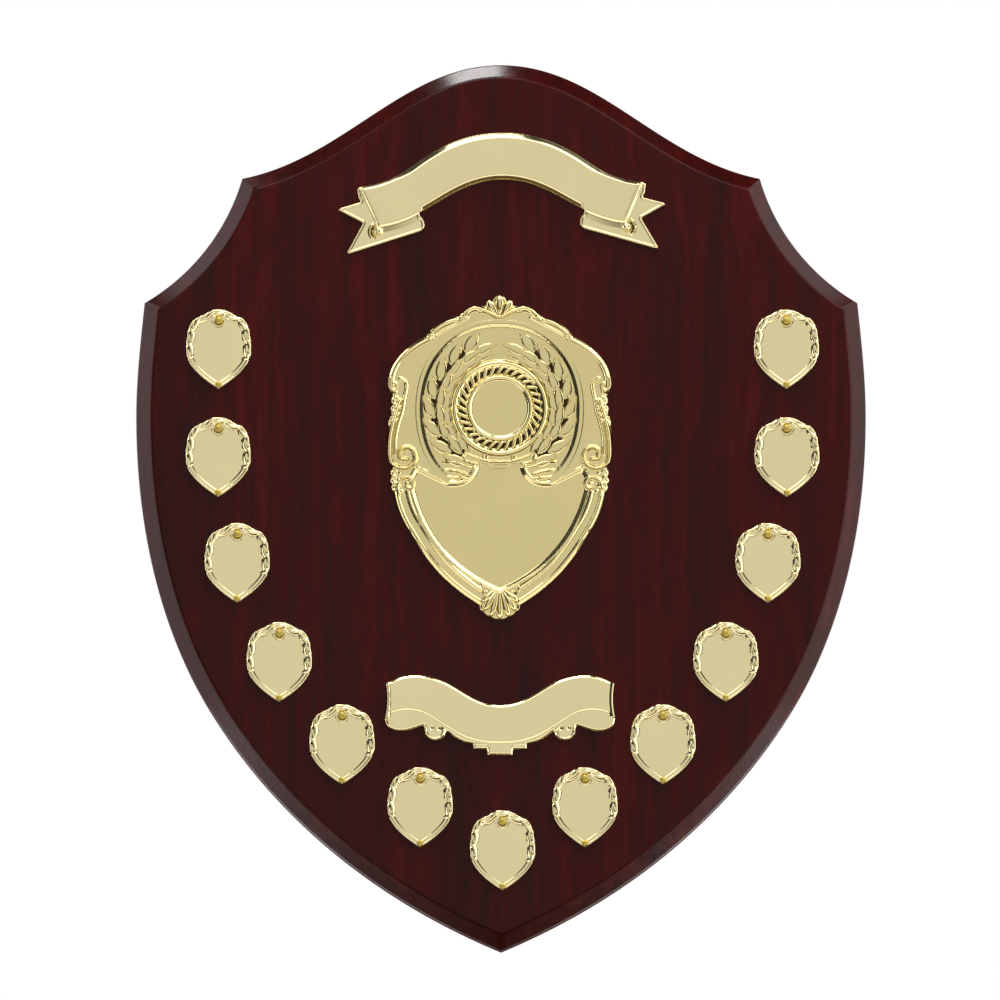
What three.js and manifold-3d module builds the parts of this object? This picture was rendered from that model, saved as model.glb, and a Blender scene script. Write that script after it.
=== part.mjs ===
import * as THREE from 'three';
import { mergeVertices } from 'three/addons/utils/BufferGeometryUtils.js';
import Module from 'manifold-3d';

// A wall-hung award shield: a chamfered wooden board that carries a ribbon scroll, an ornamental
// central shield, a smaller ribbon scroll and thirteen small record shields on brass pins.
// Millimetres. The origin is the middle of the flat back, on the wall; the front faces -Y, +Z is up.
// Every piece is drawn in a plan of its own (u to the right, v up, h out of the wood) and then hung
// on the board.

const wasm = await Module();
wasm.setup();

// Driving dimensions of the board
const boardHeight = 406.4;
const boardHalfWidth = 166.4;
const boardThickness = 18;
const chamferWidth = 7.2;
const chamferDepth = 8;
const arrisWidth = 0.6;
const shoulderHalfWidth = 118.4;
const shoulderDrop = 52.6;
const earHalfWidth = 162.8;
const earDrop = 110;
const widestDrop = 161;
const flankHalfWidth = 132.6;
const flankDrop = 296.4;
const notchRadius = 97.7;

// Driving dimensions of the keyhole that hangs the board on a wall screw
const keyholeDrop = 62;
const keyholeHeadRadius = 5.5;
const keyholeNeckWidth = 5.6;
const keyholeTravel = 14;
const keyholeDepth = 10;
const keyholeLip = 4.5;

// Clearances
const seatGap = 0.3;
const pinClearance = 0.3;

// Half widths of the large fittings, and their places on the board
const topScrollHalfWidth = 74.6;
const centreShieldHalfWidth = 50.8;
const bottomScrollHalfWidth = 52.4;
const topScrollDrop = 44.3;
const topScrollTilt = THREE.MathUtils.degToRad(1);
const medallionDrop = 159.7;
const centreShieldShift = -0.6;
const bottomScrollRise = 106.8;
const bottomScrollShift = -0.4;

// Driving dimensions of the fittings' relief, as heights off the back of each plate
const plateEdge = 1.5;
const plateFace = 2.2;
const plateRound = 0.7;
const fieldFace = 1.2;
const ridgeTop = 3.4;
const voluteTop = 4;
const reliefRoot = 0.5;

// Driving dimensions of the centre shield's medallion and wreath, whose ends are angles in degrees
const medallionRadius = 20.8;
const ropeRadius = 17.2;
const ropeHalfWidth = 2;
const ropeStrands = 24;
const discRadius = 12.85;
const discFace = 2.4;
const wreathRadius = 28.6;
const wreathStart = -52;
const wreathEnd = 78;
const leafPairs = 6;
const leafLength = 13;
const leafHalfWidth = 2.9;

// Driving dimensions of the record shields, their path around the board and their pins
const recordHalfWidth = 15.2;
const recordHeight = 37.1;
const recordEdge = 1.1;
const recordRim = 1.8;
const recordFace = 1.1;
const recordRimWidth = 0.7;
const recordBorder = 2.7;
const pathTopDrop = 132.6;
const pathSideMargin = 37.1;
const pathEndRise = 45;
const pathShift = 0.7;
const pathShares = [0, 0.175, 0.349, 0.523, 0.69, 0.851, 1];
const pinShankRadius = 0.6;
const pinHeadRadius = 2;
const pinHeadHeight = 1.2;
const pinGrip = 7;
const pinSides = 5;
const topPinInset = 5.2;
const bottomPinInset = 2.6;

// Levels on the board and the shields that other sizes give
const crown = boardHeight / 2;
const tip = -boardHeight / 2;
const topScrollHeight = crown - topScrollDrop;
const medallionHeight = crown - medallionDrop;
const bottomScrollHeight = tip + bottomScrollRise;
const topPinHeight = recordHeight / 2 - topPinInset;
const bottomPinHeight = bottomPinInset - recordHeight / 2;
const seat = boardThickness + seatGap;

// Materials
const rosewood = new THREE.MeshStandardMaterial({ color: 0x3e1918, roughness: 0.4, metalness: 0 });
const paleGold = new THREE.MeshStandardMaterial({ color: 0xd7ca98, roughness: 0.2, metalness: 1 });
const brass = new THREE.MeshStandardMaterial({ color: 0xc8a040, roughness: 0.25, metalness: 1 });

// Plan outlines

const point = (u, v) => new THREE.Vector2(u, v);

// Draws a path from a start and a list of segments: two numbers are a line, four a quadratic curve
// and six a cubic curve, each ending at its last pair.
function trace(start, segments, divisions) {
  const path = new THREE.Path();
  path.moveTo(...start);
  for (const s of segments) {
    if (s.length === 2) path.lineTo(...s);
    if (s.length === 4) path.quadraticCurveTo(...s);
    if (s.length === 6) path.bezierCurveTo(...s);
  }
  return path.getPoints(divisions);
}

// A pen that traces paths at a share of the size that their numbers give.
const pen = (share) => (start, segments, divisions) =>
  trace(start, segments, divisions).map((p) => p.multiplyScalar(share));

// A row of rounded lobes from one point to the next, as quadratic curves that bulge to the left of
// their run.
function lobes(ends, bulge) {
  const segments = [];
  for (let i = 1; i < ends.length; i++) {
    const [u0, v0] = ends[i - 1];
    const [u1, v1] = ends[i];
    const run = Math.hypot(u1 - u0, v1 - v0);
    const side = 2 * bulge / run;
    segments.push([(u0 + u1) / 2 - (v1 - v0) * side, (v0 + v1) / 2 + (u1 - u0) * side, u1, v1]);
  }
  return segments;
}

// Closes a right half, drawn from the top of the axis to its foot, into a whole outline that runs
// anticlockwise.
function mirrored(half) {
  const left = half.slice(1, -1).map((p) => point(-p.x, p.y));
  return [...half].reverse().concat(left);
}

// Moves a closed outline inwards, with mitred corners.
function inset(outline, distance) {
  const count = outline.length;
  return outline.map((p, i) => {
    const before = p.clone().sub(outline[(i + count - 1) % count]).normalize();
    const after = outline[(i + 1) % count].clone().sub(p).normalize();
    const middle = before.clone().add(after).normalize();
    const reach = distance / Math.max(0.5, middle.dot(before));
    return point(p.x - middle.y * reach, p.y + middle.x * reach);
  });
}

// Solids

function manifold(vertices, triangles) {
  const vertProperties = new Float32Array(vertices.flat());
  const triVerts = new Uint32Array(triangles.flat());
  return new wasm.Manifold(new wasm.Mesh({ numProp: 3, vertProperties, triVerts }));
}

function fromGeometry(geometry) {
  const bare = geometry.index ? geometry.toNonIndexed() : geometry.clone();
  bare.deleteAttribute('normal');
  bare.deleteAttribute('uv');
  const merged = mergeVertices(bare, 1e-4);
  const p = merged.attributes.position;
  const vertices = Array.from({ length: p.count }, (_, i) => [p.getX(i), p.getY(i), p.getZ(i)]);
  const triangles = [];
  for (let i = 0; i < merged.index.count; i += 3) {
    const corner = [0, 1, 2].map((k) => merged.index.getX(i + k));
    if (new Set(corner).size === 3) triangles.push(corner);
  }
  return manifold(vertices, triangles);
}

// Skins a stack of rings that have as many points each, and closes its first and last ring.
function skin(rings, caps) {
  const count = rings[0].length;
  const triangles = [];
  const last = (rings.length - 1) * count;
  for (let k = 0; k < rings.length - 1; k++) {
    for (let i = 0; i < count; i++) {
      const a = k * count + i;
      const b = k * count + (i + 1) % count;
      triangles.push([a, b, b + count], [a, b + count, a + count]);
    }
  }
  for (const [a, b, c] of caps) triangles.push([a, c, b], [last + a, last + b, last + c]);
  return manifold(rings.flat(), triangles);
}

const cross = (a, b, c) => (b.x - a.x) * (c.y - a.y) - (b.y - a.y) * (c.x - a.x);

// Cuts a simple outline into triangles by clipping its roundest free corner in turn. Every point of
// the outline stays a corner, so the cap meets its rim without gaps.
function capTriangles(outline) {
  const left = outline.map((_, i) => i);
  const triangles = [];
  while (left.length > 3) {
    let best = null;
    for (let k = 0; k < left.length; k++) {
      const ear = [left.at(k - 1), left[k], left[(k + 1) % left.length]];
      const [a, b, c] = ear.map((i) => outline[i]);
      const longest = Math.max(a.distanceToSquared(b), b.distanceToSquared(c), c.distanceToSquared(a));
      const roundness = cross(a, b, c) / longest;
      if (best && roundness <= best.roundness) continue;
      const inside = (p) => cross(a, b, p) >= 0 && cross(b, c, p) >= 0 && cross(c, a, p) >= 0;
      const free = !left.some((i) => !ear.includes(i) && inside(outline[i]));
      if (free || !best) best = { k, ear, roundness: free ? roundness : -Infinity };
    }
    triangles.push(best.ear);
    left.splice(best.k, 1);
  }
  triangles.push(left);
  return triangles;
}

// A plate whose edge steps through levels of [inset, height], from its back to its face.
function plate(outline, levels) {
  const rings = levels.map(([distance, h]) => inset(outline, distance).map((p) => [p.x, p.y, h]));
  return skin(rings, capTriangles(inset(outline, levels[levels.length - 1][0])));
}

// A rounded ridge along an open path, up to a height. Its half width at a share of the way is
// width(share).
function ridge(path, width, high) {
  const count = path.length;
  const rings = path.map((p, i) => {
    const along = path[Math.min(i + 1, count - 1)].clone().sub(path[Math.max(i - 1, 0)]).normalize();
    const half = width(i / (count - 1));
    const section = [[-1, reliefRoot], [-0.35, high], [0.35, high], [1, reliefRoot]];
    return section.map(([side, h]) => [p.x - along.y * side * half, p.y + along.x * side * half, h]);
  });
  return skin(rings.reverse(), [[0, 1, 2], [0, 2, 3]]);
}

// A turned form around a centre, from a profile of [radius, height] points that starts and ends on
// the axis.
function turned(profile, segments, centre) {
  const geometry = new THREE.LatheGeometry(profile.map(([r, h]) => point(r, h)), segments);
  geometry.rotateX(Math.PI / 2);
  geometry.translate(...centre, 0);
  return fromGeometry(geometry);
}

// A round boss or bore along h.
function round(radius, low, high, centre, segments) {
  const geometry = new THREE.CylinderGeometry(radius, radius, high - low, segments);
  geometry.rotateX(Math.PI / 2);
  geometry.translate(...centre, (low + high) / 2);
  return fromGeometry(geometry);
}

// A pointed leaf with a raised midrib, from its foot to its tip, widest at a share of its length.
function leaf(foot, end, halfWidth, edge, spine, belly = 0.42) {
  const [fu, fv] = foot;
  const [eu, ev] = end;
  const length = Math.hypot(eu - fu, ev - fv);
  const [du, dv] = [(eu - fu) / length, (ev - fv) / length];
  const at = (share, side, h) => [
    fu + du * share * length - dv * side,
    fv + dv * share * length + du * side,
    h,
  ];
  const rim = (h) => [at(0, 0, h), at(belly, -halfWidth, h), at(1, 0, h), at(belly, halfWidth, h)];
  const sides = [0, 1, 2, 3].flatMap((i) => {
    const j = (i + 1) % 4;
    return [[i, j, j + 4], [i, j + 4, i + 4], [i + 4, j + 4, 8]];
  });
  return manifold([...rim(reliefRoot), ...rim(edge), at(belly, 0, spine)], [[0, 2, 1], [0, 3, 2], ...sides]);
}

const unite = (solids) => solids.reduce((whole, solid) => whole.add(solid));

// Adds the mirror image of each solid on the other side of the axis.
const both = (solids) => solids.concat(solids.map((solid) => solid.mirror([1, 0, 0])));

// Board

// The right half of the board: a crown that sweeps out to the shoulder, a round notch down to the
// ear, and a side that swells and closes to the tip.
function boardOutline() {
  const shoulder = point(shoulderHalfWidth, crown - shoulderDrop);
  const ear = point(earHalfWidth, crown - earDrop);
  const flank = point(flankHalfWidth, crown - flankDrop);
  const widest = crown - widestDrop;
  const top = trace([0, crown], [
    [0.38 * shoulder.x, crown, 0.6 * shoulder.x, shoulder.y + 9.6, shoulder.x, shoulder.y],
  ], 14);
  const chord = ear.clone().sub(shoulder);
  const rise = Math.sqrt(notchRadius ** 2 - chord.lengthSq() / 4);
  const outward = point(-chord.y, chord.x).normalize();
  const centre = shoulder.clone().add(ear).multiplyScalar(0.5).addScaledVector(outward, rise);
  const from = Math.atan2(shoulder.y - centre.y, shoulder.x - centre.x);
  const to = Math.atan2(ear.y - centre.y, ear.x - centre.x);
  const turn = (to - from + 3 * Math.PI) % (2 * Math.PI) - Math.PI;
  const notch = new THREE.Path();
  notch.absarc(centre.x, centre.y, notchRadius, from, from + turn, turn < 0);
  const side = trace([ear.x, ear.y], [
    [(ear.x + boardHalfWidth) / 2, ear.y - 17.3, boardHalfWidth, widest + 16, boardHalfWidth, widest],
    [boardHalfWidth, widest - 54.1, flank.x + 21.4, flank.y + 34.7, flank.x, flank.y],
    [flank.x - 27.4, flank.y - 44.5, 0.47 * flank.x, tip + 26, 0, tip],
  ], 8);
  return mirrored([...top, ...notch.getPoints(6).slice(1), ...side.slice(1)]);
}

// The keyhole: a round mouth for the screw's head, with a slot above it that is wider behind its lip.
function keyhole() {
  const mouth = crown - keyholeDrop;
  const top = mouth + keyholeTravel;
  const slot = (half, low, high) => {
    const side = trace([0, top + half], [[half, top + half, half, top], [half, mouth], [0, mouth]], 3);
    return plate(mirrored(side), [[0, low], [0, high]]);
  };
  return unite([
    round(keyholeHeadRadius, -1, keyholeDepth, [0, mouth], 16),
    slot(keyholeNeckWidth / 2, -1, keyholeLip + 0.5),
    slot(keyholeHeadRadius, keyholeLip, keyholeDepth),
  ]);
}

function boardSolid() {
  const slope = chamferDepth / chamferWidth;
  const blank = plate(boardOutline(), [
    [0, 0],
    [0, boardThickness - chamferDepth],
    [chamferWidth - arrisWidth, boardThickness - arrisWidth * slope],
    [chamferWidth + arrisWidth, boardThickness],
  ]);
  const bores = pinPlaces().map(({ place }) => round(pinShankRadius + pinClearance,
    boardThickness - pinGrip - pinClearance, boardThickness + 1, place, pinSides));
  return blank.subtract(keyhole()).subtract(unite(bores));
}

// Record shields and pins

// Centres of the record shields: six pairs down the sides and one at the foot.
function recordPlaces() {
  const start = point(boardHalfWidth - pathSideMargin, crown - pathTopDrop);
  const end = point(0, tip + pathEndRise);
  const path = new THREE.CubicBezierCurve(
    start,
    point(start.x + 4.6, start.y - 59.2),
    point(start.x - 1.6, end.y + 54.1),
    end,
  );
  return pathShares.flatMap((share) => {
    const { x, y } = path.getPointAt(share);
    return share === 1 ? [[pathShift, y]] : [[pathShift - x, y], [pathShift + x, y]];
  });
}

function pinPlaces() {
  return recordPlaces().flatMap(([u, v], i) => {
    const number = String(i + 1).padStart(2, '0');
    return [
      { name: `pin_${number}_top`, place: [u, v + topPinHeight] },
      { name: `pin_${number}_bottom`, place: [u, v + bottomPinHeight] },
    ];
  });
}

function recordOutline() {
  const half = recordHeight / 2;
  const w = recordHalfWidth;
  return mirrored(trace([0, half], [
    [0.22 * w, half],
    [0.45 * w, 0.86 * half, 0.66 * w, 0.86 * half, 0.84 * w, 0.69 * half],
    [0.95 * w, 0.56 * half, w, 0.24 * half, w, 0],
    [w, -0.42 * half, 0.5 * w, -0.75 * half, 0, -half],
  ], 3));
}

function recordSolid() {
  const bore = (v) => round(pinShankRadius + pinClearance, -1, recordRim + 1, [0, v], pinSides);
  const body = plate(recordOutline(), [
    [0, 0],
    [0, recordEdge],
    [recordRimWidth, recordRim],
    [recordBorder, recordFace],
  ]);
  return body.subtract(bore(topPinHeight)).subtract(bore(bottomPinHeight));
}

// A round-headed pin, drawn from the back of its head, with a pointed shank that runs into the wood.
function pinSolid() {
  const profile = [
    [0, -seatGap - recordRim - pinGrip], [pinShankRadius, 0], [pinHeadRadius, 0],
    [0.7 * pinHeadRadius, 0.75 * pinHeadHeight], [0, pinHeadHeight],
  ];
  const geometry = new THREE.LatheGeometry(profile.map(([r, h]) => point(r, h)), pinSides);
  geometry.rotateX(Math.PI / 2);
  return fromGeometry(geometry);
}

// Top scroll

// A ribbon that arches over the shield, folds back at each end and runs out in a swallow tail,
// drawn for a half width of 74.6.
function topScrollSolid() {
  const scale = topScrollHalfWidth / 74.6;
  const draw = pen(scale);
  const band = mirrored(draw([0, 11.7], [
    [14, 11.7, 26, 7.4, 38.4, -1.5],
    [46, -6.9, 53, -11.1, 64.6, -12.2],
    [63.8, -14.7],
    [56.5, -31],
    [49, -30, 43, -28, 36.4, -24.3],
    [27, -19.6, 16, -10.3, 0, -10.3],
  ], 5));
  const tail = draw([62, -13.5], [
    [66.2, -13.2], [65, -19.2], [73.6, -21.8], [74.6, -23.1], [63.8, -29.2], [71, -42],
    [70.1, -43.6], [37, -33.3], [35.1, -30.6], [37.2, -25.8], [45, -22],
  ], 1).reverse();
  const curl = turned([
    [0, 0], [2.8 * scale, 0], [2.8 * scale, ridgeTop], [1.9 * scale, voluteTop],
    [1.1 * scale, ridgeTop], [0, ridgeTop],
  ], 8, [56.1 * scale, -33.5 * scale]);
  return unite([
    plate(band, [[0, 0], [0, ridgeTop - 1.2], [1.2, ridgeTop]]),
    ...both([plate(tail, [[0, 0], [0, plateEdge], [0.6, plateFace]]), curl]),
  ]);
}

// Bottom scroll

// A ribbon that dips in the middle, with a curled lobe under each side and a stepped tab at its
// foot, drawn for a half width of 52.4.
function bottomScrollSolid() {
  const scale = bottomScrollHalfWidth / 52.4;
  const draw = pen(scale);
  const top = [[9, 4.4, 14, 8.5, 21.5, 13], [28, 16.9, 41, 21.5, 51.8, 13.8]];
  const body = mirrored(draw([0, 4.4], [
    ...top,
    [50.4, 6, 52.2, -1.8],
    [51.9, -6.8, 46.4, -7.5],
    [41, -7.9, 38, -5.5, 34.4, -5],
    [35.2, -11.3, 29.5, -11.8],
    [24.8, -11.8, 24.4, -7.2],
    [20, -11.2, 16, -13, 12.2, -13.3],
    [12, -15.6], [5.9, -15.8], [5.6, -18.4], [0, -18.4],
  ], 3));
  const band = mirrored(draw([0, 4.4], [
    ...top,
    [50.6, 6, 50.6, -0.4],
    [44, 2.4, 36, 2.2, 29.1, -1.8],
    [20, -8.4, 12, -12.4, 0, -12.4],
  ], 4));
  const eye = turned([
    [0, reliefRoot], [4 * scale, reliefRoot], [4 * scale, plateFace], [2.8 * scale, ridgeTop],
    [1.2 * scale, plateFace], [0, plateFace],
  ], 8, [29.5 * scale, -7.4 * scale]);
  return unite([
    plate(body, [[0, 0], [0, plateEdge], [plateRound, plateFace]]),
    plate(band, [[0.5, reliefRoot], [0.5, plateFace], [1.3, ridgeTop]]),
    ...both([eye]),
  ]);
}

// Centre shield, drawn for a half width of 50.8

const shieldScale = centreShieldHalfWidth / 50.8;
const drawShield = pen(shieldScale);

// The right half of the shield's edge, from the crest down to the shell at its foot.
function centreShieldOutline() {
  return mirrored(drawShield([0, 52.1], [
    ...lobes([[0, 52.1], [3.4, 49], [6.9, 47], [8.3, 46]], 1),
    [10.5, 48.2, 14.4, 46.8, 16.2, 44.3],
    [18.6, 42.3],
    [24, 41, 31, 38, 33.4, 33],
    [37.5, 31.2, 41.8, 27.8],
    [50.6, 20.6, 50.8, 11.5],
    [50.8, 7, 48.8, 6.4],
    ...lobes([[48.8, 6.4], [49.2, 1.8], [49.6, -2.6], [50.8, -8]], 0.6),
    [51.8, -12, 51.6, -22, 49.2, -27.2],
    ...lobes([[49.2, -27.2], [49.5, -31], [49.4, -34.9], [48.2, -38.4]], 0.6),
    [46.4, -49.2, 40.8, -57.1],
    [35.3, -66.6, 28.6, -74.4],
    [20.6, -83.2, 9, -90.2],
    ...lobes([[9, -90.2], [7.6, -93.2], [4, -95.6], [0, -96.6]], 0.6),
  ], 2));
}

// The blank field under the wreath.
function fieldOutline() {
  return mirrored(drawShield([0, -26], [
    [10, -26, 16, -22.5],
    [19, -35, 27, -33, 36.5, -27.2],
    [42, -33],
    [37.5, -55, 25, -74, 0, -84.4],
  ], 4));
}

// The oval hollow that holds the wreath.
function ovalHalf(width, top, foot) {
  return drawShield([0, top], [
    [0.6 * width, top, width, 0.58 * top, width, 0],
    [width, -0.5 * foot, 0.86 * width, -0.8 * foot, 0.6 * width, -foot],
  ], 7);
}

function medallion() {
  const dish = turned([
    [0, reliefRoot], [medallionRadius + 0.6, reliefRoot], [medallionRadius, ridgeTop - 0.2],
    [medallionRadius - 1.2, ridgeTop], [ropeRadius, plateFace], [discRadius + 1.6, ridgeTop],
    [discRadius, discFace], [0, discFace],
  ], 24, [0, 0]);
  const strands = Array.from({ length: ropeStrands }, (_, i) => {
    const turn = 2 * Math.PI * i / ropeStrands;
    const skew = 0.9 * Math.PI / ropeStrands;
    const at = (r, a) => [r * Math.cos(a), r * Math.sin(a)];
    return leaf(at(ropeRadius + ropeHalfWidth, turn - skew), at(ropeRadius - ropeHalfWidth, turn + skew),
      1, plateFace + 0.5, voluteTop);
  });
  return unite([dish, ...strands]);
}

// One branch of the wreath: leaves in pairs along an arc, with a butt end at its foot.
function wreathBranch() {
  const span = wreathEnd - wreathStart;
  const place = (degrees, r) => {
    const a = THREE.MathUtils.degToRad(degrees);
    return [r * Math.cos(a), r * Math.sin(a)];
  };
  const leaves = [];
  const reach = THREE.MathUtils.radToDeg(leafLength / wreathRadius);
  for (let i = 0; i < leafPairs; i++) {
    const foot = wreathStart + span * i / leafPairs;
    for (const side of [-1, 1]) {
      const start = place(foot + 3 * side, wreathRadius + side * 0.8);
      const end = place(foot + 3 * side + reach, wreathRadius + side * 4.6);
      leaves.push(leaf(start, end, leafHalfWidth, plateFace, ridgeTop));
    }
  }
  leaves.push(leaf(place(wreathEnd - 6, wreathRadius), place(wreathEnd + 10, wreathRadius + 1), leafHalfWidth,
    plateFace, ridgeTop));
  const butt = drawShield([10.5, -27], [[12, -31.5, 17, -34.8, 23, -33.4], [27, -27.5], [22, -23]], 3);
  leaves.push(plate(butt, [[0, reliefRoot], [0, plateFace], [0.8, ridgeTop - 0.4]]));
  return leaves;
}

// Scrolled ridges of the frame on the right side: the upper S, the tall side with its volute, the
// lower side with its small curl, and the inner edge of the field.
function frameRidges() {
  const even = (half) => () => half * shieldScale;
  const tapered = (half) => (share) => even(half)() * (0.5 + 0.5 * Math.sin(Math.PI * share));
  return [
    ridge(drawShield([46, 12], [[50, 18, 42, 26, 35, 30.4]], 5), tapered(0.8), ridgeTop),
    ridge(drawShield([43.6, 13.6], [[40.8, 9.4, 44.6, 4, 45.4, -4.8]], 5), tapered(0.9), ridgeTop),
    ridge(drawShield([46.4, 0], [
      [49.6, -8, 50.6, -14, 50, -21.5],
      [49.4, -28.6, 42.6, -28.6],
      [37.6, -28, 37.6, -22.4],
      [38, -17.6, 42.4, -17.8],
      [45.4, -19, 44.6, -23],
    ], 3), even(1.1), voluteTop),
    ridge(drawShield([42.6, -37], [
      [40, -34.2, 42.8, -32.6],
      [46.6, -31.6, 46.6, -37],
      [43.6, -57.4, 28, -76.4, 9.4, -88.4],
    ], 4), even(1), ridgeTop),
    ridge(drawShield([41.8, -38], [[38.6, -56.4, 26, -74.8, 7, -83.4]], 6), even(0.7), ridgeTop - 0.4),
    ridge(drawShield([8, 45.5], [[12, 47.6, 15, 44.6, 17, 43]], 3), even(0.8), ridgeTop),
    ridge(drawShield([18.6, 41], [[25, 39.4, 30.4, 36.4, 32.4, 33.6]], 3), even(1), ridgeTop),
  ];
}

// The palmette at the crest and the shell at the foot: ribs that fan out from a root.
function fan(root, ribs, spread, inner, outer, halfWidth, facing) {
  return Array.from({ length: ribs }, (_, i) => {
    const a = facing + spread * (i / (ribs - 1) - 0.5);
    const reach = outer * (1 - 0.4 * Math.abs(i / (ribs - 1) - 0.5));
    const at = (r) => [(root[0] + r * Math.cos(a)) * shieldScale, (root[1] + r * Math.sin(a)) * shieldScale];
    return leaf(at(inner), at(reach), halfWidth * shieldScale, plateFace + 0.2, voluteTop, 0.7);
  });
}

function centreShieldSolid() {
  const hollow = mirrored(ovalHalf(35.2, 38.4, 31));
  const moulding = ovalHalf(37, 40.2, 34);
  const blank = plate(centreShieldOutline(), [[0, 0], [0, plateEdge], [plateRound, plateFace]])
    .subtract(plate(fieldOutline(), [[1, fieldFace], [0.2, voluteTop]]))
    .subtract(plate(hollow, [[1.2, fieldFace + 0.3], [0, voluteTop]]));
  const mouldingWidth = (share) => 1.5 * shieldScale * (1 - 0.4 * share);
  const moulded = ridge(moulding.slice(0, -3), mouldingWidth, ridgeTop - 0.2);
  const ribbonArc = drawShield([0, -24.6], [[9, -24.6, 16.8, -18.6]], 5);
  const ribbon = ridge(ribbonArc, () => 1.9 * shieldScale, plateFace + 0.4);
  return unite([
    blank,
    medallion(),
    ...both([moulded, ribbon, ...wreathBranch(), ...frameRidges()]),
    ...fan([0, 41.4], 5, 1.9, 1, 10.4, 1.3, Math.PI / 2),
    ...fan([0, -84], 7, 1.9, 2.2, 12.2, 1.1, -Math.PI / 2),
  ]);
}

// Assembly

const shield = new THREE.Group();

// Hangs a solid drawn in plan at a place on the board, with its back at a height off the wall.
function hang(name, solid, material, [u, v], height, tilt = 0) {
  const { vertProperties, triVerts } = solid.getMesh();
  const geometry = new THREE.BufferGeometry();
  geometry.setAttribute('position', new THREE.BufferAttribute(vertProperties, 3));
  geometry.setIndex(new THREE.BufferAttribute(triVerts, 1));
  const mesh = new THREE.Mesh(geometry, material);
  mesh.name = name;
  mesh.rotation.set(Math.PI / 2, 0, tilt);
  mesh.position.set(u, -height, v);
  shield.add(mesh);
}

hang('board', boardSolid(), rosewood, [0, 0], 0);
hang('top_scroll', topScrollSolid(), paleGold, [0, topScrollHeight], seat, topScrollTilt);
hang('centre_shield', centreShieldSolid(), paleGold, [centreShieldShift, medallionHeight], seat);
hang('bottom_scroll', bottomScrollSolid(), paleGold, [bottomScrollShift, bottomScrollHeight], seat);

const record = recordSolid();
recordPlaces().forEach((place, i) => {
  hang(`record_shield_${String(i + 1).padStart(2, '0')}`, record, paleGold, place, seat);
});

const pin = pinSolid();
for (const { name, place } of pinPlaces()) {
  hang(name, pin, brass, place, seat + recordRim + seatGap);
}

export default shield;
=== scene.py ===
import math

import bmesh
import bpy
import numpy as np
from mathutils import Matrix, Vector


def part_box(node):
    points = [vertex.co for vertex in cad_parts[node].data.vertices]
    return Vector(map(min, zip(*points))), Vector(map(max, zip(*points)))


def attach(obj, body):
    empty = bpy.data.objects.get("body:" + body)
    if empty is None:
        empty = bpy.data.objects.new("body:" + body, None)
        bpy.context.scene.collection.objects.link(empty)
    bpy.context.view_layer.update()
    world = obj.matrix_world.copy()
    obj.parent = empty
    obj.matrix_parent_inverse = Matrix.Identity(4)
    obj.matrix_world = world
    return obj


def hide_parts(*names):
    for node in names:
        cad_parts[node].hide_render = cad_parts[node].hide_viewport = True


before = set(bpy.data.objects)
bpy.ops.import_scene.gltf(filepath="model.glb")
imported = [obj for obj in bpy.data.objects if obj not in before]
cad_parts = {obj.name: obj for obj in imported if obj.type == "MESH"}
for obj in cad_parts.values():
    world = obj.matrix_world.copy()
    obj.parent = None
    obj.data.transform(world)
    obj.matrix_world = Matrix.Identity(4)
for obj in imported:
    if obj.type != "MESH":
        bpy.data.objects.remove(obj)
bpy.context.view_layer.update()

# Millimetres, until a finished piece is hung on the board in metres. Every fitting is drawn in a plan
# of its own: u to the right, v up, h out of the wood.
MM = 0.001

# Board
BOARD_HEIGHT = 406.4
BOARD_HALF_WIDTH = 166.4
BOARD_THICKNESS = 18.0
CHAMFER_WIDTH = 7.2
CHAMFER_DEPTH = 8.0
SHOULDER = (118.4, BOARD_HEIGHT / 2 - 52.6)
EAR = (162.8, BOARD_HEIGHT / 2 - 110)
FLANK = (132.6, BOARD_HEIGHT / 2 - 296.4)
WIDEST_DROP = 161.0
NOTCH_RADIUS = 97.7
KEYHOLE_DROP = 62.0
KEYHOLE_HEAD = 5.5
KEYHOLE_NECK = 5.6
KEYHOLE_TRAVEL = 14.0
KEYHOLE_DEPTH = 10.0
KEYHOLE_LIP = 4.5

# Fittings
SEAT = BOARD_THICKNESS + 0.05
TOP_SCROLL_PLACE = (0.0, 158.9)
TOP_SCROLL_TILT = math.radians(1)
CENTRE_SHIELD_PLACE = (-0.6, 43.5)
BOTTOM_SCROLL_PLACE = (-0.4, -96.4)
RECORD_COUNT = 13
RECORD_HALF_WIDTH = 15.2
RECORD_HALF_HEIGHT = 18.55
TOP_PIN_HEIGHT = 13.35
BOTTOM_PIN_HEIGHT = -15.95
ROPE_RADIUS = 17.2
ROPE_STRANDS = 32
OVAL_HALF_WIDTH = 37.2
OVAL_TOP = 39.7
PLATE_PITCH = 0.36
# An end of the top scroll: its curl, the curl's pit and the edge of the band that folds over the tail
CURL = (56.7, -33.2)
CURL_PIT = (57.4, -33.2)
FOLDED_EDGE = [49, -30, 43, -28, 36.4, -24.3]
# The two pits in a curl of the bottom scroll
FOOT_PITS = ((27.6, -6.2), (31.0, -6.0))


# Plan drawing

def trace(start, segments, steps):
    """A path from a start and segments: 2 numbers are a line, 4 a quadratic and 6 a cubic curve."""
    points = [np.array(start, float)]
    for segment in segments:
        controls = [points[-1]] + [np.array(segment[i:i + 2], float) for i in range(0, len(segment), 2)]
        count = 1 if len(controls) == 2 else steps
        for k in range(1, count + 1):
            level = controls
            while len(level) > 1:
                level = [a + (b - a) * k / count for a, b in zip(level, level[1:])]
            points.append(level[0])
    return np.array(points)


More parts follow.
